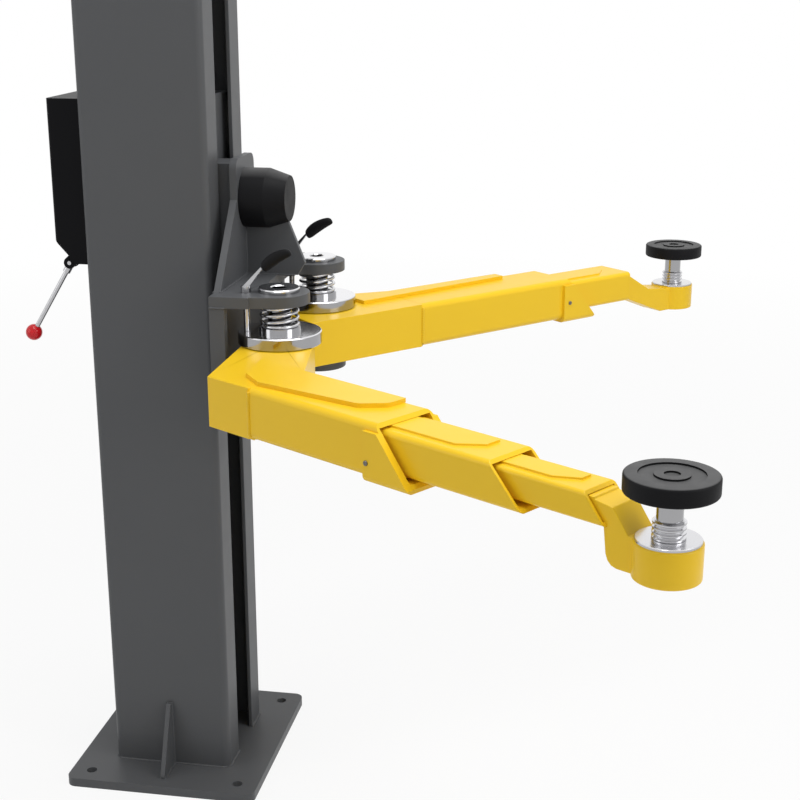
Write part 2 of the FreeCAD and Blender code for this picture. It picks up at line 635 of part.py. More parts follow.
def make_discs():
    bore = "pin_radius + pin_clear"
    for word in ("near", "far"):
        body = new_body(word + "_lock_disc")
        sketch = new_sketch(body, "XZ")
        outline(sketch, [(bore, "0"), ("disc_radius - disc_edge", "0"), ("disc_radius", "disc_edge"),
                         ("disc_radius", "disc_thick - disc_edge"), ("disc_radius - disc_edge", "disc_thick"),
                         (bore, "disc_thick")])
        spin(body, sketch)
        arm_at(body, word)

        for name, radius, foot, thick in (
                ("_pin_washer", "washer_radius", "-tube_1_tall - washer_thick", "washer_thick"),
                ("_spring_seat", "hub_radius", "disc_thick", "hub_thick")):
            body = new_body(word + name)
            sketch = new_sketch(body, "XY", foot)
            ring(sketch, ("0", "0"), radius)
            ring(sketch, ("0", "0"), bore)
            pad(body, sketch, thick)
            arm_at(body, word)


# Each inner tube hangs so that its strip lies just under the ceiling of the tube around it.
DROP_2 = "tube_1_wall + strip_thick + slide_gap"
DROP_3 = DROP_2 + " + tube_wall + strip_thick + slide_gap"

# Each inner tube ends a set distance short of the pad's axis.
NEAR_3_END = "(near_reach - near_3_short)"
FAR_2_END = "(far_reach - far_2_short)"


def make_tubes():
    for word in ("near", "far"):
        offset = word + "_offset"
        second_end = "(" + word + "_reach - " + word + "_2_short)"
        first = make_tube(word + "_arm_tube_1", "tube_1", "0", "tube_1_wall", "corner_1", word + "_seam",
                          word + "_end", "slant_1", offset, cheek=True)
        second = make_tube(word + "_arm_tube_2", "tube_2", DROP_2, "tube_wall", "corner_2", word + "_2_start",
                           second_end, "slant_2" if word == "near" else "0", offset,
                           ("strip_2_inset", second_end + " - strip_2_back"))
        arm_at(first, word)
        arm_at(second, word)
    third = make_tube("near_arm_tube_3", "tube_3", DROP_3, "tube_wall", "corner_3", "near_3_start",
                      NEAR_3_END, "slant_3", "near_offset", ("strip_3_inset", NEAR_3_END + " - strip_3_back"))
    arm_at(third, "near")


# Pad brackets: a bar inside the last tube, stepped down to the ring that holds the pad's sleeve.
def make_brackets():
    low = "-ring_drop - ring_tall"
    body = new_body("near_pad_bracket")
    sketch = new_sketch(body, "XZ", "near_offset")
    inner_top = "-(" + DROP_3 + " + tube_wall)"
    inner_low = "-(" + DROP_3 + " + tube_3_tall - tube_wall)"
    rim, back = "near_reach - ring_bite", NEAR_3_END + " - grip_in"
    step, foot = NEAR_3_END + " + block_step", NEAR_3_END + " + slant_3 + block_step"
    outline(sketch, [(back, inner_top), (step, inner_top), (step, inner_top + " - block_sink"),
                     (NEAR_3_END + " + block_shelf", inner_top + " - block_sink"),
                     (rim, "-ring_drop - block_rim"), (rim, low), (foot, low), (foot, inner_low),
                     (back, inner_low)])
    pad(body, sketch, "block_wide", both=True)
    bracket_ring(body, "near")

    body = new_body("far_pad_bracket")
    sketch = new_sketch(body, "XZ", "far_offset")
    inner_top = "-(" + DROP_2 + " + tube_wall)"
    inner_low = "-(" + DROP_2 + " + tube_2_tall - tube_wall)"
    rim, back = "far_reach - ring_bite", FAR_2_END + " - grip_in"
    outline(sketch, [(back, inner_top), (FAR_2_END + " + far_step", inner_top),
                     (FAR_2_END + " + far_slope", "-ring_drop + far_slope_rise"), (rim, "-ring_drop - far_rim"),
                     (rim, low), (rim + " - far_heel", low),
                     (FAR_2_END + " + far_belly", inner_low + " - far_belly_drop"),
                     (FAR_2_END + " + far_step", inner_low), (back, inner_low)])
    pad(body, sketch, "far_block_wide", both=True)
    bracket_ring(body, "far")


def bracket_ring(body, word):
    centre = (word + "_reach", "-" + word + "_offset")
    low = "-ring_drop - ring_tall"
    sketch = new_sketch(body, "XY", low)
    ring(sketch, centre, "ring_radius")
    pad(body, sketch, "ring_tall")
    bolt_bore(body, centre, "sleeve_radius + sleeve_clear", low, "ring_tall")
    arm_at(body, word)


def pad_at(body, word):
    side = "-" if word == "near" else ""
    turn = FreeCAD.Rotation(UP, size(word + "_swing"))
    place = V(size("pin_forward"), worth(side + "pin_side"), size("arm_level"))
    local = V(size(word + "_reach"), -size(word + "_offset"), 0)
    body.Placement = FreeCAD.Placement(place + turn.multVec(local), turn)


def make_pads():
    foot = "-ring_drop - ring_tall - sleeve_below"
    seat = "-ring_drop + flange_thick"
    for word in ("near", "far"):
        body = new_body(word + "_pad_sleeve")
        sketch = new_sketch(body, "XZ")
        bore = "shaft_radius + pin_clear"
        outline(sketch, [(bore, foot), ("sleeve_radius", foot), ("sleeve_radius", "-ring_drop"),
                         ("flange_radius", "-ring_drop"), ("flange_radius", seat), ("sleeve_radius", seat),
                         ("sleeve_radius", seat + " + sleeve_above"), (bore, seat + " + sleeve_above")])
        spin(body, sketch)
        cut_threads(body, seat + " + thread_start")
        pad_at(body, word)

        body = new_body(word + "_pad_shaft")
        sketch = new_sketch(body, "XZ")
        low, high = "pad_level - pad_thick", "pad_level"
        top = low + " + dish_thick"
        outline(sketch, [("0", foot), ("shaft_radius", foot), ("shaft_radius", low), ("dish_radius", low),
                         ("dish_radius", top), ("0", top)])
        spin(body, sketch)
        pad_at(body, word)

        body = new_body(word + "_pad_rubber")
        sketch = new_sketch(body, "XZ")
        recess = "dish_radius + seat_gap"
        outline(sketch, [("0", top), (recess, top), (recess, low), ("pad_radius - pad_round", low),
                         ("pad_radius", low + " + pad_round"), ("pad_radius", high + " - pad_round"),
                         ("pad_radius - pad_round", high)]
                + groove("groove_outer", high) + groove("groove_inner", high)
                + [("dimple_radius", high), ("dimple_radius - groove_slope", high + " - groove_deep"),
                   ("0", high + " - groove_deep")])
        spin(body, sketch)
        pad_at(body, word)


def groove(radius, high):
    # Four corners of a shallow groove about the pad's centre.
    floor = high + " - groove_deep"
    return [(radius + " + groove_half", high), (radius + " + groove_half - groove_slope", floor),
            (radius + " - groove_half + groove_slope", floor), (radius + " - groove_half", high)]


def cut_threads(body, low):
    # Coarse thread ridges, as round grooves one pitch apart.
    sketch = new_sketch(body, "XZ")
    inner, outer = "sleeve_radius - thread_deep", "sleeve_radius + thread_deep"
    outline(sketch, [(outer, low), (outer, low + " + thread_wide"), ("sleeve_radius", low + " + thread_wide"),
                     (inner, low + " + thread_wide - thread_floor"), (inner, low + " + thread_floor"),
                     ("sleeve_radius", low)])
    cut = body.newObject("PartDesign::Groove", body.Name + "_groove")
    cut.Profile = sketch
    cut.ReferenceAxis = (sketch, ["V_Axis"])
    cut.Angle = 360
    doc.recompute()
    pattern = body.newObject("PartDesign::LinearPattern", body.Name + "_threads")
    pattern.Originals = [cut]
    axis = [item for item in body.Origin.OriginFeatures if item.Role == "Z_Axis"][0]
    pattern.Direction = (axis, [""])
    pattern.setExpression("Length", bound("thread_pitch * (thread_count - 1)"))
    pattern.setExpression("Occurrences", bound("thread_count"))
    body.Tip = pattern
    doc.recompute()


def write_parts():
    doc.recompute()
    os.makedirs("parts", exist_ok=True)
    ready = []
    for item in doc.Objects:
        if {"Invalid", "Error"} & set(item.State):
            raise ValueError("%s failed: %s" % (item.Name, item.State))
        if item.TypeId in ("PartDesign::Body", "Part::Feature", "Part::MultiFuse"):
            ready.append(item)
    for item in ready:
        shape = item.Shape
        if shape.isNull() or not shape.isValid() or len(shape.Solids) != 1:
            raise ValueError("%s is not one valid solid" % item.Label)
    for item in ready:
        item.Shape.exportStep("parts/%s.step" % item.Label)
    print(len(ready), "parts,", round(sum(item.Shape.Volume for item in ready) * 1e-9, 5), "cubic metres")


make_post()
make_latch()
make_carriage()
make_pins()
make_springs()
make_locks()
make_heads()
make_top_plates()
make_discs()
make_tubes()
make_brackets()
make_pads()
write_parts()
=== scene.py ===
import json
import math

import bpy
from mathutils import Matrix, Vector


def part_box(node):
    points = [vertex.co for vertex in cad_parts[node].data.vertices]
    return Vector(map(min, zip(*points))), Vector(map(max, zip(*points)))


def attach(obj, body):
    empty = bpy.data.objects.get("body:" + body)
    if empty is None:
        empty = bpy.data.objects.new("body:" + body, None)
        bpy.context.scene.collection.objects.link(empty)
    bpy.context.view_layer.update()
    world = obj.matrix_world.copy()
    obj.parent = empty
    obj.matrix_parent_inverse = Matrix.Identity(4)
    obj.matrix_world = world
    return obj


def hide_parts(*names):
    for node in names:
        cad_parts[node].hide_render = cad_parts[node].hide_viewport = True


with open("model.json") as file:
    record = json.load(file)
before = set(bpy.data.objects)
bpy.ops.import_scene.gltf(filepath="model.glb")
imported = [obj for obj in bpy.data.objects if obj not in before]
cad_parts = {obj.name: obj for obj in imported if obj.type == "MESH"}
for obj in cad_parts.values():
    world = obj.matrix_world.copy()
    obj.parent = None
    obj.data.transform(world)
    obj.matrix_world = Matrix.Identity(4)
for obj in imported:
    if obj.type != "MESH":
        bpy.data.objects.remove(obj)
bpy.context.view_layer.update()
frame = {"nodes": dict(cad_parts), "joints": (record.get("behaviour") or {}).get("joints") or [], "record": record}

NODES = frame["nodes"]
JOINTS = {joint["name"]: joint for joint in frame["joints"]}
UP = Vector((0, 0, 1))
MM = 0.001

# Sizes of the post and its arms that the dressed pieces sit on, in metres.
TUBE_WIDE, TUBE_TALL = 0.135, 0.095
OFFSET = {"near": 0.191, "far": 0.060}
SEAM = {"near": 0.201, "far": 0.191}
REACH = {"near": 1.033, "far": 1.053}
CHEEK = 0.007
POST_HALF, POST_FOOT = 0.130, 0.020


# ---------------------------------------------------------------- node groups

def new_group(name, inputs, outputs):
    group = bpy.data.node_groups.new(name, "ShaderNodeTree")
    for label, kind, value in inputs:
        socket = group.interface.new_socket(label, in_out="INPUT", socket_type=kind)
        socket.default_value = value
    for label, kind in outputs:
        group.interface.new_socket(label, in_out="OUTPUT", socket_type=kind)
    return group, group.nodes.new("NodeGroupInput"), group.nodes.new("NodeGroupOutput")


def math_node(tree, operation, first, second):
    node = tree.nodes.new("ShaderNodeMath")
    node.operation = operation
    for socket, value in zip(node.inputs, (first, second)):
        if isinstance(value, (int, float)):
            socket.default_value = value
        else:
            tree.links.new(value, socket)
    return node.outputs[0]


def noise(tree, place, scale, detail):
    node = tree.nodes.new("ShaderNodeTexNoise")
    node.inputs["Detail"].default_value = detail
    tree.links.new(place, node.inputs["Vector"])
    if isinstance(scale, (int, float)):
        node.inputs["Scale"].default_value = scale
    else:
        tree.links.new(scale, node.inputs["Scale"])
    return node.outputs["Fac"]


def spread(tree, value, low, high):
    """value from 0 to 1 laid out between low and high."""
    node = tree.nodes.new("ShaderNodeMapRange")
    tree.links.new(value, node.inputs["Value"])
    node.inputs["To Min"].default_value = low
    node.inputs["To Max"].default_value = high
    return node.outputs["Result"]


def scaled(tree, colour, factor):
    """A colour, fixed or from a socket, times a factor from a socket."""
    node = tree.nodes.new("ShaderNodeVectorMath")
    node.operation = "SCALE"
    if isinstance(colour, tuple):
        node.inputs[0].default_value = colour
    else:
        tree.links.new(colour, node.inputs[0])
    tree.links.new(factor, node.inputs["Scale"])
    return node.outputs[0]


def facing_up(tree, low, high):
    """Map range node that goes from 0 to 1 as the upward part of the normal goes from low to high."""
    parts = tree.nodes.new("ShaderNodeSeparateXYZ")
    tree.links.new(tree.nodes.new("ShaderNodeNewGeometry").outputs["Normal"], parts.inputs[0])
    node = tree.nodes.new("ShaderNodeMapRange")
    node.inputs["From Min"].default_value = low
    node.inputs["From Max"].default_value = high
    tree.links.new(parts.outputs["Z"], node.inputs["Value"])
    return node


# Noise scales per metre, and how far a coat's roughness drifts.
COAT_CLOUD, COAT_PATCH = 5.0, 22.0
COAT_DRIFT = (-0.04, 0.05)


def sprayed_coat():
    """Powder coat: faint cloudy shade, a fine orange peel and a roughness that drifts."""
    group, source, sink = new_group(
        "sprayed coat",
        [("Colour", "NodeSocketColor", (0.5, 0.5, 0.5, 1)), ("Shade", "NodeSocketFloat", 0.1),
         ("Peel size", "NodeSocketFloat", 260.0), ("Roughness", "NodeSocketFloat", 0.35)],
        [("Colour", "NodeSocketColor"), ("Roughness", "NodeSocketFloat"), ("Height", "NodeSocketFloat")])
    links = group.links
    place = group.nodes.new("ShaderNodeTexCoord").outputs["Object"]
    centred = math_node(group, "SUBTRACT", noise(group, place, COAT_CLOUD, 3.0), 0.5)
    drift = math_node(group, "MULTIPLY", centred, source.outputs["Shade"])
    tone = math_node(group, "ADD", drift, 1.0)
    peel = noise(group, place, source.outputs["Peel size"], 1.0)
    patch = spread(group, noise(group, place, COAT_PATCH, 2.0), *COAT_DRIFT)
    links.new(scaled(group, source.outputs["Colour"], tone), sink.inputs["Colour"])
    links.new(math_node(group, "ADD", source.outputs["Roughness"], patch), sink.inputs["Roughness"])
    links.new(peel, sink.inputs["Height"])
    return group


# How far tool rings change roughness and tone, and how level a face is where the painted shade on the sides of
# turned pieces ends and it gets its full tone.
RING_ROUGHNESS, RING_TONE = (-0.05, 0.07), (0.93, 1.0)
SIDE_SHADE_LEVEL = (0.3, 0.8)


def turned_marks():
    """Fine tool rings about the upright middle of a turned piece, with painted shade that darkens its upright
    sides by the side shade factor.
    """
    group, source, sink = new_group(
        "turned marks",
        [("Rings", "NodeSocketFloat", 60.0), ("Roughness", "NodeSocketFloat", 0.2),
         ("Rim tone", "NodeSocketFloat", 1.0)],
        [("Roughness", "NodeSocketFloat"), ("Height", "NodeSocketFloat"), ("Tone and painted shade", "NodeSocketFloat")])
    links = group.links
    place = group.nodes.new("ShaderNodeTexCoord").outputs["Generated"]
    middle = group.nodes.new("ShaderNodeVectorMath")
    middle.operation = "SUBTRACT"
    middle.inputs[1].default_value = (0.5, 0.5, 0.0)
    links.new(place, middle.inputs[0])
    flat = group.nodes.new("ShaderNodeVectorMath")
    flat.operation = "MULTIPLY"
    flat.inputs[1].default_value = (1, 1, 0)
    links.new(middle.outputs[0], flat.inputs[0])
    radius = group.nodes.new("ShaderNodeVectorMath")
    radius.operation = "LENGTH"
    links.new(flat.outputs[0], radius.inputs[0])
    turn = math_node(group, "MULTIPLY", radius.outputs["Value"], source.outputs["Rings"])
    rings = group.nodes.new("ShaderNodeTexNoise")
    rings.noise_dimensions = "1D"
    rings.inputs["Scale"].default_value = 1.0
    links.new(turn, rings.inputs["W"])
    wave = rings.outputs["Fac"]
    rough = math_node(group, "ADD", source.outputs["Roughness"], spread(group, wave, *RING_ROUGHNESS))
    links.new(rough, sink.inputs["Roughness"])
    links.new(wave, sink.inputs["Height"])
    # Painted shade: faces that are less level are darkened, down to the side shade factor on upright sides.
    level = facing_up(group, *SIDE_SHADE_LEVEL)
    links.new(source.outputs["Rim tone"], level.inputs["To Min"])
    tone = math_node(group, "MULTIPLY", spread(group, wave, *RING_TONE), level.outputs["Result"])
    links.new(tone, sink.inputs["Tone and painted shade"])
    return group


# Noise scales per metre of bloom and of the pale dusting that is also a painted highlight on upward faces, and how
# far each changes the rubber.
BLOOM_SCALE, DUST_HIGHLIGHT_SCALE = 30.0, 55.0
BLOOM_FLOOR, BLOOM_ROUGHNESS = 0.85, (0.42, 0.62)
DUST_HIGHLIGHT_SHARE, DUST_HIGHLIGHT_LEVEL = (0.75, 1.2), (0.75, 1.0)


def moulded_grain():
    """Fine matt grain of moulded rubber, with a faint cloudy bloom, and a pale dusting on what faces up that is
    also a painted highlight on the tops.
    """
    group, source, sink = new_group(
        "moulded grain",
        [("Colour", "NodeSocketColor", (0.02, 0.02, 0.02, 1)), ("Grain", "NodeSocketFloat", 900.0),
         ("Bloom", "NodeSocketFloat", 0.3), ("Dust", "NodeSocketFloat", 0.0)],
        [("Colour", "NodeSocketColor"), ("Roughness", "NodeSocketFloat"), ("Height", "NodeSocketFloat")])
    links = group.links
    place = group.nodes.new("ShaderNodeTexCoord").outputs["Object"]
    grain = noise(group, place, source.outputs["Grain"], 2.0)
    cloud = noise(group, place, BLOOM_SCALE, 3.0)
    bloom = math_node(group, "MULTIPLY", cloud, source.outputs["Bloom"])
    lift = math_node(group, "ADD", bloom, BLOOM_FLOOR)
    # Painted highlight: pale patches added to upward faces, partly dust and partly the bright tops that light
    # would give.
    dust_highlight_patches = spread(group, noise(group, place, DUST_HIGHLIGHT_SCALE, 4.0), *DUST_HIGHLIGHT_SHARE)
    dust_highlight_amount = math_node(group, "MULTIPLY", dust_highlight_patches, source.outputs["Dust"])
    dust_and_highlight = math_node(group, "MULTIPLY", facing_up(group, *DUST_HIGHLIGHT_LEVEL).outputs["Result"], dust_highlight_amount)
    dust_and_highlight_colour = group.nodes.new("ShaderNodeVectorMath")
    dust_and_highlight_colour.operation = "ADD"
    links.new(scaled(group, source.outputs["Colour"], lift), dust_and_highlight_colour.inputs[0])
    links.new(dust_and_highlight, dust_and_highlight_colour.inputs[1])
    links.new(dust_and_highlight_colour.outputs[0], sink.inputs["Colour"])
    links.new(spread(group, cloud, *BLOOM_ROUGHNESS), sink.inputs["Roughness"])
    links.new(grain, sink.inputs["Height"])
    return group


GROUPS = {"coat": sprayed_coat(), "turned": turned_marks(), "rubber": moulded_grain()}


# ---------------------------------------------------------------- materials

def new_material(name, group, **values):
    """A material whose Principled BSDF gets its colour, roughness and bump from one of the groups."""
    material = bpy.data.materials.new(name)
    material.use_nodes = True
    tree = material.node_tree
    shader = tree.nodes["Principled BSDF"]
    skin = tree.nodes.new("ShaderNodeGroup")
    skin.node_tree = GROUPS[group]
    for label, value in values.items():
        skin.inputs[label.replace("_", " ")].default_value = value
    tree.links.new(skin.outputs["Roughness"], shader.inputs["Roughness"])
    return material, tree, shader, skin


def bump(tree, shader, height, depth):
    node = tree.nodes.new("ShaderNodeBump")
    node.inputs["Strength"].default_value = 1.0
    node.inputs["Distance"].default_value = depth
    tree.links.new(height, node.inputs["Height"])
    tree.links.new(node.outputs["Normal"], shader.inputs["Normal"])


# Roughness of the clear coat over each paint.
COAT_ROUGHNESS = 0.12


def coated(name, colour, roughness, shade=0.08, peel=0.00002, coat=0.05, gloss=0.2):
    material, tree, shader, skin = new_material(name, "coat", Colour=colour + (1,), Shade=shade,
                                                Roughness=roughness)
    tree.links.new(skin.outputs["Colour"], shader.inputs["Base Color"])
    shader.inputs["Specular IOR Level"].default_value = gloss
    shader.inputs["Coat Weight"].default_value = coat
    shader.inputs["Coat Roughness"].default_value = COAT_ROUGHNESS
    bump(tree, shader, skin.outputs["Height"], peel)
    return material


# rim sets the painted shade on the upright sides: the tone they are darkened to, 1 for none.
def turned(name, colour, roughness, rings=60.0, depth=0.00001, rim=1.0):
    material, tree, shader, skin = new_material(name, "turned", Rings=rings, Roughness=roughness,
                                                Rim_tone=rim)
    tree.links.new(scaled(tree, colour, skin.outputs["Tone and painted shade"]), shader.inputs["Base Color"])
    shader.inputs["Metallic"].default_value = 1.0
    bump(tree, shader, skin.outputs["Height"], depth)
    return material


def moulded(name, colour, grain=900.0, bloom=0.3, depth=0.00003, gloss=0.15, dust_and_highlight=0.0):
    material, tree, shader, skin = new_material(name, "rubber", Colour=colour + (1,), Grain=grain,
                                                Bloom=bloom, Dust=dust_and_highlight)
    tree.links.new(skin.outputs["Colour"], shader.inputs["Base Color"])
    shader.inputs["Specular IOR Level"].default_value = gloss
    bump(tree, shader, skin.outputs["Height"], depth)
    return material


FINISHES = {
    "post_paint": coated("grey post paint", (0.088, 0.091, 0.096), 0.45),
    "arm_paint": coated("yellow arm paint", (0.90, 0.575, 0.016), 0.36, shade=0.05, coat=0.1, gloss=0.25),
    # The rim values below paint shade onto the upright sides of these steels.
    "chrome": turned("bright turned steel", (0.88, 0.88, 0.90), 0.12, rim=0.42),
    "bright_steel": turned("plain steel", (0.78, 0.78, 0.80), 0.20, rim=0.62),
    # The pale dusting on the pad tops is partly a painted highlight.
    "rubber": moulded("black rubber", (0.007, 0.007, 0.008), gloss=0.1, dust_and_highlight=0.085),
    "black_paint": coated("black box paint", (0.004, 0.004, 0.005), 0.40, gloss=0.05),
    "red_knob": coated("red ball plastic", (0.62, 0.010, 0.016), 0.10, shade=0.02, peel=0.000002, coat=0.2),
    "grip": moulded("soft black grip", (0.008, 0.008, 0.009), grain=1400.0, gloss=0.1),
    "slide_plastic": moulded("pale slide plastic", (0.62, 0.60, 0.54), grain=600.0, bloom=0.1),
    "screw": turned("dark screw steel", (0.16, 0.15, 0.14), 0.35),
}
SLOT_OF = {part["node"]: part["material_slot"] for part in frame["record"]["subparts"]}


# Edges that turn by less than these angles are left as they are.
NODE_TURN, PIECE_TURN, CREASE_TURN = math.radians(28), math.radians(25), math.radians(35)
JOIN_REACH = 0.01 * MM


def soften(node, width):
    """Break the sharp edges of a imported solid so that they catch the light."""
    join = node.modifiers.new("join", "WELD")
    join.merge_threshold = JOIN_REACH
    bevel = node.modifiers.new("edge break", "BEVEL")
    bevel.width = width
    bevel.segments = 2
    bevel.limit_method = "ANGLE"
    bevel.angle_limit = NODE_TURN
    bevel.use_clamp_overlap = True
    bevel.face_strength_mode = "FSTR_ALL"
    shade = node.modifiers.new("even shade", "WEIGHTED_NORMAL")
    shade.keep_sharp = False
    shade.use_face_influence = True
    node.data.shade_smooth()


def sharpen(piece):
    """Crease the turned piece where its profile turns sharply."""
    piece.data.set_sharp_from_angle(angle=CREASE_TURN)


def break_edges(piece, width):
    """Round the edges of a plate or block made here."""
    bevel = piece.modifiers.new("edge break", "BEVEL")
    bevel.width = width
    bevel.segments = 3
    bevel.angle_limit = PIECE_TURN
    shade = piece.modifiers.new("even shade", "WEIGHTED_NORMAL")
    shade.keep_sharp = False
    piece.data.shade_smooth()


# How wide the broken edge of each material is.
EDGE = {"post_paint": 1.2 * MM, "arm_paint": 1.2 * MM, "chrome": 0.8 * MM, "black_paint": 1.2 * MM,
        "bright_steel": 0.5 * MM, "slide_plastic": 1.0 * MM}


def finish_nodes():
    for name, node in NODES.items():
        slot = SLOT_OF[name]
        node.data.materials.clear()
        node.data.materials.append(FINISHES[slot])
        if slot in EDGE and "spring" not in name and "sleeve" not in name:
            soften(node, EDGE[slot])


# ---------------------------------------------------------------- mesh helpers

def new_piece(name, corners, faces, finish, body, place=None, smooth=True):
    mesh = bpy.data.meshes.new(name)
    mesh.from_pydata([tuple(corner) for corner in corners], [], faces)
    if place is not None:
        mesh.transform(place)
    if smooth:
        mesh.shade_smooth()
    mesh.materials.append(FINISHES[finish])
    mesh.update()
    piece = bpy.data.objects.new(name, mesh)
    bpy.context.scene.collection.objects.link(piece)
    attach(piece, body)
    return piece


def bridge(rows, around):
    """Faces between rows of points, each row a ring of that many points."""
    faces = []
    for row in range(len(rows) - 1):
        for step in range(around):
            turn = (step + 1) % around
            first, second = row * around, (row + 1) * around
            faces.append((first + step, first + turn, second + turn, second + step))
    return faces


def walk(corners, pitch):
    """Evenly spaced points along a path of straight runs, with the way the path goes at each."""
    stations = []
    for start, end in zip(corners, corners[1:]):
        run = end - start
        steps = max(2, round(run.length / pitch))
        stations += [start.lerp(end, step / steps) for step in range(steps)]
    stations.append(corners[-1])
    ways = []
    for index, here in enumerate(stations):
        before = stations[index - 1] if index else here
        after = stations[index + 1] if index + 1 < len(stations) else here
        ways.append((after - before).normalized())
    return stations, ways


# Points round a bead, its pitch, and how far each of its ripples in turn is drawn in, in radii.
BEAD_AROUND, BEAD_PITCH = 6, 0.45
BEAD_RIPPLE, RIPPLES = 0.16, 3
# The upward part of a seam's way from which it counts as upright.
UPRIGHT = 0.9


def weld_bead(name, corners, radius, finish, body):
    """A row of overlapping ripples laid along a seam."""
    pitch = radius * BEAD_PITCH
    stations, ways = walk([Vector(corner) for corner in corners], pitch)
    rows = []
    for index, (here, way) in enumerate(zip(stations, ways)):
        side = way.cross(UP) if abs(way.z) < UPRIGHT else way.cross(Vector((1, 0, 0)))
        side.normalize()
        lift = side.cross(way)
        ripple = radius * (1.0 - BEAD_RIPPLE * (index % RIPPLES))
        rows.append([here + (side * math.cos(turn) + lift * math.sin(turn)) * ripple
                     for turn in (math.tau * step / BEAD_AROUND for step in range(BEAD_AROUND))])
    faces = bridge(rows, BEAD_AROUND)
    faces.append(tuple(range(BEAD_AROUND))[::-1])
    last = (len(rows) - 1) * BEAD_AROUND
    faces.append(tuple(range(last, last + BEAD_AROUND)))
    return new_piece(name, [point for row in rows for point in row], faces, finish, body)


def facing(at, way):
    """A place at a point, with its own Z axis along way."""
    return Matrix.Translation(Vector(at)) @ Vector(way).to_track_quat("Z", "Y").to_matrix().to_4x4()


def lathe(name, profile, finish, body, place, around=24):
    """A turned piece. Each profile point is (radius, height) or (radius, height, "hex")."""
    rows = []
    for point in profile:
        radius, height = point[0], point[1]
        row = []
        for step in range(around):
            turn = math.tau * step / around
            reach = radius
            if len(point) > 2:
                reach = radius * math.cos(math.pi / 6) / math.cos(turn % (math.pi / 3) - math.pi / 6)
            row.append((reach * math.cos(turn), reach * math.sin(turn), height))
        rows.append(row)
    faces = bridge(rows, around)
    if profile[-1][0] > 0:
        last = (len(rows) - 1) * around
        faces.append(tuple(range(last, last + around)))
    return new_piece(name, [point for row in rows for point in row], faces, finish, body, place)


def socket_screw(name, at, way, radius, body):
    """A low screw head with a hexagonal socket."""
    tall, edge, key = radius * 0.55, radius * 0.15, radius * 0.52
    profile = [(radius, -0.2 * radius), (radius, tall - edge), (radius - edge, tall), (key, tall, "hex"),
               (key * 0.97, tall * 0.3, "hex"), (0.0, tall * 0.2)]
    return lathe(name, profile, "screw", body, facing(at, way))


def prism(outline, half):
    """Corners and faces of a plate with this outline (x, z), half as thick to each side of y = 0."""
    count = len(outline)
    corners = [(x, side * half, z) for side in (-1, 1) for x, z in outline]
    faces = [tuple(range(count)), tuple(range(2 * count - 1, count - 1, -1))]
    faces += [(step, step + count, (step + 1) % count + count, (step + 1) % count) for step in range(count)]
    return corners, faces


def rounded(radius, low, high, edge, steps=4):
    """Profile of a plain turned rim from its lower to its upper edge, both rounded."""
    profile = []
    for middle, start in ((low + edge, -90), (high - edge, 0)):
        for step in range(steps + 1):
            turn = math.radians(start + 90 * step / steps)
            profile.append((radius - edge + edge * math.cos(turn), middle + edge * math.sin(turn)))
    return profile


# ---------------------------------------------------------------- arms

def arm_place(word):
    """The arm's own axes: along the tubes, across to the left, and up, from the middle of its pin."""
    along = Vector(JOINTS[word + "_second_tube_slide"]["axis"]).normalized()
    across = UP.cross(along)
    turn = Matrix((along, across, UP)).transposed().to_4x4()
    return Matrix.Translation(Vector(JOINTS[word + "_arm_swing"]["pos_m"])) @ turn


ARM = {word: arm_place(word) for word in ("near", "far")}


def on_arm(word, along, across, up):
    return ARM[word] @ Vector((along, across, up))


def way_on_arm(word, along, across, up):
    return (ARM[word].to_3x3() @ Vector((along, across, up))).normalized()


# Where each arm's stop screws are, along the arm and up from its top.
STOP_SCREW = {"near": (0.498, -0.067), "far": (0.625, -0.055)}
# Radii of the screw heads and of the bead at the tube's seam, and of the tube's own corners.
SCREW_RADIUS, TUBE_BEAD, TUBE_CORNER = 4.5 * MM, 4.0 * MM, 8 * MM


def dress_arms():
    for word in ("near", "far"):
        body = word + "_arm"
        middle, half = -OFFSET[word], TUBE_WIDE / 2
        section = [(middle - half, -TUBE_CORNER), (middle - half, -TUBE_TALL + TUBE_CORNER),
                   (middle - half + TUBE_CORNER, -TUBE_TALL), (middle + half - TUBE_CORNER, -TUBE_TALL),
                   (middle + half, -TUBE_TALL + TUBE_CORNER), (middle + half, -TUBE_CORNER)]
        seam = [on_arm(word, SEAM[word], across, up) for across, up in section]
        weld_bead(word + "_tube_seam_weld", seam, TUBE_BEAD, "arm_paint", body)
        along, up = STOP_SCREW[word]
        for side, label in ((-1, "outer"), (1, "inner")):
            place = on_arm(word, along, middle + side * (half + CHEEK), up)
            way = way_on_arm(word, 0, side, 0)
            socket_screw("%s_%s_stop_screw" % (word, label), place, way, SCREW_RADIUS, body)


# Pads, threaded sleeves and shafts stand on the pad's own axis; levels are measured from the arm's top.
# The tread gives the radius and the depth of each step, and its floor closes at the middle.
PAD_TOP, PAD_LOW, PAD_RADIUS, PAD_EDGE = 26 * MM, -3 * MM, 70 * MM, 4 * MM
TREAD = [(49 * MM, 0.0), (49 * MM, 3 * MM), (26.5 * MM, 3 * MM), (26.5 * MM, 0.0), (12 * MM, 0.0),
         (12 * MM, 3 * MM)]
MIDDLE = 0.001 * MM
DISH_RADIUS, DISH_TALL = 60.3 * MM, 6 * MM
RING_TOP, RING_LOW, RING_RADIUS = -75 * MM, -133 * MM, 51.5 * MM
SHAFT_RADIUS, SLEEVE_RADIUS, FLANGE_RADIUS, FLANGE_TALL = 19.6 * MM, 25 * MM, 49 * MM, 4 * MM
THREAD_TOP, THREAD_PITCH, THREADS = -42 * MM, 7.7 * MM, 4
THREAD_CORE = SLEEVE_RADIUS - 3 * MM
THREAD_ROOT, THREAD_CREST = 0.5 * MM, (0.35, 0.65, 0.95)
# Flats round the pads and rings, and round the threads.
RIM_AROUND, THREAD_AROUND = 96, 72


def pad_place(word):
    return Matrix.Translation(on_arm(word, REACH[word], -OFFSET[word], 0))


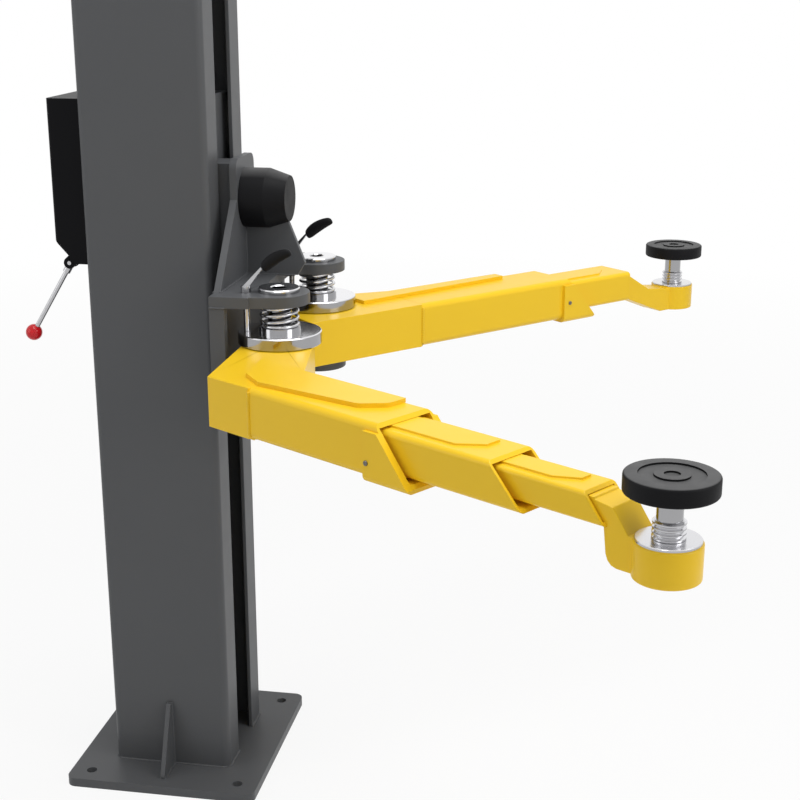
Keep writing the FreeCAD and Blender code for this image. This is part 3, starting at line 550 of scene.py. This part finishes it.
def dress_pads():
    for word in ("near", "far"):
        place = pad_place(word)
        body = word + "_pad"
        carrier = "near_third_tube" if word == "near" else "far_second_tube"
        profile = [(DISH_RADIUS, PAD_LOW + DISH_TALL), (DISH_RADIUS, PAD_LOW)]
        profile += rounded(PAD_RADIUS, PAD_LOW, PAD_TOP, PAD_EDGE)
        profile += [(radius, PAD_TOP - sunk) for radius, sunk in TREAD]
        profile += [(MIDDLE, PAD_TOP - TREAD[-1][1])]
        pad = lathe(word + "_pad_tread", profile, "rubber", body, place, around=RIM_AROUND)
        sharpen(pad)
        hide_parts(word + "_pad_rubber")
        seat = RING_TOP + FLANGE_TALL
        profile = [(SHAFT_RADIUS, RING_LOW - FLANGE_TALL), (SLEEVE_RADIUS, RING_LOW - FLANGE_TALL),
                   (SLEEVE_RADIUS, RING_TOP), (FLANGE_RADIUS, RING_TOP), (FLANGE_RADIUS, seat - 1 * MM),
                   (FLANGE_RADIUS - 1 * MM, seat), (THREAD_CORE, seat)]
        first = THREAD_TOP - THREAD_PITCH * THREADS
        for turn in range(THREADS):
            root = first + turn * THREAD_PITCH
            rise, fall, end = (root + share * THREAD_PITCH for share in THREAD_CREST)
            profile += [(THREAD_CORE, root + THREAD_ROOT), (SLEEVE_RADIUS, rise), (SLEEVE_RADIUS, fall),
                        (THREAD_CORE, end)]
        profile += [(SHAFT_RADIUS, THREAD_TOP)]
        sleeve = lathe(word + "_threaded_sleeve", profile, "bright_steel", carrier, place,
                       around=THREAD_AROUND)
        sharpen(sleeve)
        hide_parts(word + "_pad_sleeve")


# The near bracket's side outline in millimetres, along the arm and up from its top.
BRACKET_SIDE = [(808, -29), (923, -29), (923.5, -32), (956, -37), (985, -74), (1008, -74), (1008, -130),
                (966, -130), (957, -127.5), (950, -121), (946, -111), (940, -62.5), (808, -62.5)]
BRACKET_HALF, BRACKET_EDGE, BRACKET_RIM = 31 * MM, 2.0 * MM, 3.5 * MM
BRACKET_BORE = SLEEVE_RADIUS + 0.5 * MM


def dress_near_bracket():
    place = ARM["near"] @ Matrix.Translation((0, -OFFSET["near"], 0))
    corners, faces = prism([(x * MM, z * MM) for x, z in BRACKET_SIDE], BRACKET_HALF)
    body = "near_third_tube"
    block = new_piece("near_bracket_block", corners, faces, "arm_paint", body, place, smooth=False)
    break_edges(block, BRACKET_EDGE)
    profile = [(BRACKET_BORE, RING_LOW)] + rounded(RING_RADIUS, RING_LOW, RING_TOP, BRACKET_RIM)
    profile += [(BRACKET_BORE, RING_TOP)]
    ring = lathe("near_bracket_ring", profile, "arm_paint", body, pad_place("near"),
                 around=RIM_AROUND)
    sharpen(ring)
    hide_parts("near_pad_bracket")


# A lever grip: its length and lean, and at each share of its length half its height and half its width.
GRIP_LONG, GRIP_LEAN = 66 * MM, math.radians(32)
GRIP_STATIONS = [(0.0, 4.0, 4.0), (0.02, 8.0, 5.5), (0.09, 11.0, 6.5), (0.30, 12.5, 7.0), (0.55, 12.0, 7.0),
                 (0.80, 10.0, 6.5), (0.93, 8.5, 5.8), (0.985, 6.0, 4.5), (1.0, 2.0, 2.0)]
GRIP_BOW, GRIP_AROUND = 5 * MM, 20


def dress_grips():
    """Bean-shaped grips on the ends of the lock levers."""
    turns = [math.tau * step / GRIP_AROUND for step in range(GRIP_AROUND)]
    sideways = Vector((0, 1, 0))
    for word in ("near", "far"):
        low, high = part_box(word + "_lock_grip")
        middle = (low + high) / 2
        along = Vector((math.cos(GRIP_LEAN), 0, math.sin(GRIP_LEAN)))
        upward = Vector((-math.sin(GRIP_LEAN), 0, math.cos(GRIP_LEAN)))
        rows = []
        for share, tall, wide in GRIP_STATIONS:
            bow = GRIP_BOW * (4 * share * (1 - share) - 0.5)
            heart = middle + along * (share - 0.5) * GRIP_LONG + upward * bow
            rows.append([heart + upward * math.cos(turn) * tall * MM + sideways * math.sin(turn) * wide * MM
                         for turn in turns])
        faces = bridge(rows, GRIP_AROUND) + [tuple(range(GRIP_AROUND))[::-1]]
        faces.append(tuple(range((len(rows) - 1) * GRIP_AROUND, len(rows) * GRIP_AROUND)))
        corners = [point for row in rows for point in row]
        grip = new_piece(word + "_lever_grip", corners, faces, "grip", word + "_lock")
        smooth = grip.modifiers.new("soft form", "SUBSURF")
        smooth.levels = smooth.render_levels = 2
        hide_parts(word + "_lock_grip")


# ---------------------------------------------------------------- carriage and post

# The gusset's side outline in millimetres, out from the tower plate and up from the upper ear.
GUSSET_SIDE = [(-2, 0), (106, 0), (122, 26), (88, 112), (50, 97), (-2, 97)]
# Beads of the carriage: the reach of the gusset's, where an ear's starts, in shares of its outer side,
# and their radii.
WEB_BEAD_LONG, EAR_BEAD_FROM = 0.100, 0.92
FOOT_BEAD, BACK_BEAD, WEB_BEAD = 3.5 * MM, 3.0 * MM, 2.6 * MM


def dress_gusset(front, foot, low, high):
    place = Matrix.Translation((front, (low + high) / 2, foot))
    corners, faces = prism([(x * MM, z * MM) for x, z in GUSSET_SIDE], (high - low) / 2)
    plate = new_piece("tower_web", corners, faces, "post_paint", "carriage", place, smooth=False)
    break_edges(plate, EDGE["post_paint"])
    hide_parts("tower_gusset")


def dress_carriage():
    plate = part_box("tower_plate")
    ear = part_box("upper_ear")
    front, top = plate[1].x, ear[1].z
    foot = plate[1].y
    weld_bead("tower_foot_weld", [(front, -foot, top), (front, foot, top)], FOOT_BEAD, "post_paint",
              "carriage")
    weld_bead("tower_back_weld", [(plate[0].x, foot, top), (plate[0].x, -foot, top)], BACK_BEAD,
              "post_paint", "carriage")
    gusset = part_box("tower_gusset")
    dress_gusset(front, top, gusset[0].y, gusset[1].y)
    for side, label in ((gusset[0].y, "near"), (gusset[1].y, "far")):
        weld_bead(label + "_gusset_weld", [(front, side, gusset[1].z), (front, side, top),
                                           (front + WEB_BEAD_LONG, side, top)], WEB_BEAD, "post_paint",
                  "carriage")
    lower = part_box("lower_ear")
    for side, label in ((-1, "near"), (1, "far")):
        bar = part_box(label + "_side_plate")
        outer = bar[0].y if side < 0 else bar[1].y
        for level, place in ((ear[0].z, "upper"), (lower[1].z, "lower")):
            corners = [(bar[1].x, outer * EAR_BEAD_FROM, level), (bar[1].x, outer, level),
                       (bar[0].x, outer, level)]
            weld_bead("%s_%s_ear_weld" % (label, place), corners, WEB_BEAD, "post_paint", "carriage")


# The column's foot: half its slot, and how far its folds cut its corners.
SLOT_HALF, FOLD = 0.055, 0.012
POST_BEAD, BRACE_BEAD = 4.0 * MM, 2.8 * MM
# Cover screws of the latch housing, in from its sides, its top and its foot.
COVER_SIDE, COVER_HEAD, COVER_FOOT = 0.018, 0.02, 0.08


def dress_post():
    half = POST_HALF
    inset = half - FOLD
    section = [(half, -SLOT_HALF), (half, -half + FOLD), (inset, -half), (-half + FOLD, -half),
               (-half, -half + FOLD), (-half, inset), (-half + FOLD, half), (inset, half), (half, inset),
               (half, SLOT_HALF)]
    foot = [(x, y, POST_FOOT) for x, y in section]
    weld_bead("post_foot_weld", foot, POST_BEAD, "post_paint", "post")
    for side, label in ((-1, "near"), (1, "far")):
        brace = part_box(label + "_base_brace")
        tip = brace[0].y if side < 0 else brace[1].y
        for face, hand in ((brace[0].x, "back"), (brace[1].x, "front")):
            weld_bead("%s_%s_brace_weld" % (label, hand),
                      [(face, side * half, brace[1].z), (face, side * half, POST_FOOT),
                       (face, tip, POST_FOOT)], BRACE_BEAD, "post_paint", "post")
    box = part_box("latch_housing")
    for hand, across in (("near", box[0].y + COVER_SIDE), ("far", box[1].y - COVER_SIDE)):
        for height, level in (("upper", box[1].z - COVER_HEAD), ("lower", box[0].z + COVER_FOOT)):
            socket_screw("%s_%s_cover_screw" % (hand, height), (box[0].x, across, level), (-1, 0, 0),
                         SCREW_RADIUS, "post")


# ---------------------------------------------------------------- camera, floor and light

# The photo's side and the camera's focal length and level row, in pixels; the place in metres.
PHOTO = 800
FOCAL_PIXELS = 1471.16
OPTICAL_ROW = 414.39
CAMERA_AT = (0.996, -2.884, 1.717)
CAMERA_AZIMUTH, CAMERA_PITCH = math.radians(10), math.radians(17.15)
SENSOR = 36.0


def add_camera():
    data = bpy.data.cameras.new("camera")
    data.sensor_width = SENSOR
    data.lens = FOCAL_PIXELS / PHOTO * SENSOR
    data.shift_y = (OPTICAL_ROW - PHOTO / 2) / PHOTO
    camera = bpy.data.objects.new("camera", data)
    camera.location = CAMERA_AT
    camera.rotation_euler = (math.pi / 2 - CAMERA_PITCH, 0, CAMERA_AZIMUTH)
    bpy.context.scene.collection.objects.link(camera)
    bpy.context.scene.camera = camera


def seen_as_background(tree):
    """1 for the rays that should meet a plain white background."""
    path = tree.nodes.new("ShaderNodeLightPath")
    seen = math_node(tree, "MAXIMUM", path.outputs["Is Camera Ray"], path.outputs["Is Glossy Ray"])
    return math_node(tree, "MAXIMUM", seen, path.outputs["Is Transmission Ray"])


# The floor's own white, how much of the plain white the camera sees over it near the post, and how far
# out it fades to nothing but white, in metres.
FLOOR_WHITE, FLOOR_SHOWN = 0.80, 0.88
FLOOR_FADE = (1.2, 6.0)
FLOOR_HALF, FLOOR_ROUGHNESS = 40.0, 0.9


def add_floor():
    mesh = bpy.data.meshes.new("floor")
    corners = [(x * FLOOR_HALF, y * FLOOR_HALF, 0) for x, y in ((-1, -1), (1, -1), (1, 1), (-1, 1))]
    mesh.from_pydata(corners, [], [(0, 1, 2, 3)])
    floor = bpy.data.objects.new("floor", mesh)
    bpy.context.scene.collection.objects.link(floor)
    material = bpy.data.materials.new("pale floor")
    material.use_nodes = True
    tree = material.node_tree
    shader = tree.nodes["Principled BSDF"]
    shader.inputs["Base Color"].default_value = (FLOOR_WHITE, FLOOR_WHITE, FLOOR_WHITE, 1)
    shader.inputs["Roughness"].default_value = FLOOR_ROUGHNESS
    shader.inputs["Specular IOR Level"].default_value = 0.0
    white = tree.nodes.new("ShaderNodeEmission")
    white.inputs["Color"].default_value = (1, 1, 1, 1)
    white.inputs["Strength"].default_value = 1.0
    mix = tree.nodes.new("ShaderNodeMixShader")
    reach_out = tree.nodes.new("ShaderNodeVectorMath")
    reach_out.operation = "LENGTH"
    tree.links.new(tree.nodes.new("ShaderNodeTexCoord").outputs["Object"], reach_out.inputs[0])
    fade = tree.nodes.new("ShaderNodeMapRange")
    fade.inputs["From Min"].default_value, fade.inputs["From Max"].default_value = FLOOR_FADE
    fade.inputs["To Min"].default_value = FLOOR_SHOWN
    tree.links.new(reach_out.outputs["Value"], fade.inputs["Value"])
    shown = math_node(tree, "MULTIPLY", seen_as_background(tree), fade.outputs["Result"])
    tree.links.new(shown, mix.inputs["Fac"])
    tree.links.new(shader.outputs[0], mix.inputs[1])
    tree.links.new(white.outputs[0], mix.inputs[2])
    tree.links.new(mix.outputs[0], tree.nodes["Material Output"].inputs["Surface"])
    mesh.materials.append(material)


# How strongly the world lights the lift, where plain white is 1.
WORLD_LIGHT = 0.42


def add_world():
    world = bpy.data.worlds.new("studio")
    world.use_nodes = True
    bpy.context.scene.world = world
    tree = world.node_tree
    dim = tree.nodes["Background"]
    dim.inputs["Color"].default_value = (1, 1, 1, 1)
    dim.inputs["Strength"].default_value = WORLD_LIGHT
    white = tree.nodes.new("ShaderNodeBackground")
    white.inputs["Color"].default_value = (1, 1, 1, 1)
    white.inputs["Strength"].default_value = 1.0
    mix = tree.nodes.new("ShaderNodeMixShader")
    tree.links.new(seen_as_background(tree), mix.inputs["Fac"])
    tree.links.new(dim.outputs[0], mix.inputs[1])
    tree.links.new(white.outputs[0], mix.inputs[2])
    tree.links.new(mix.outputs[0], tree.nodes["World Output"].inputs["Surface"])


# Each softbox: its name, its place, its width and height in metres and its power in watts.
SOFTBOXES = [("overhead softbox", (0.8, -0.4, 4.6), (3.0, 3.0), 115),
             ("right softbox", (4.2, -1.6, 2.6), (2.0, 2.4), 48),
             ("left softbox", (-3.4, -2.6, 2.4), (2.0, 2.4), 26)]
LIT_POINT = (0.5, 0.0, 1.0)


def add_softbox(name, at, size, power):
    data = bpy.data.lights.new(name, "AREA")
    data.shape = "RECTANGLE"
    data.size, data.size_y = size
    data.energy = power
    lamp = bpy.data.objects.new(name, data)
    lamp.location = at
    lamp.rotation_euler = (Vector(LIT_POINT) - Vector(at)).to_track_quat("-Z", "Y").to_euler()
    bpy.context.scene.collection.objects.link(lamp)


def add_light():
    add_world()
    for softbox in SOFTBOXES:
        add_softbox(*softbox)


finish_nodes()
dress_arms()
dress_pads()
dress_near_bracket()
dress_grips()
dress_carriage()
dress_post()
add_camera()
add_floor()
add_light()
bpy.context.scene.view_settings.view_transform = "Standard"
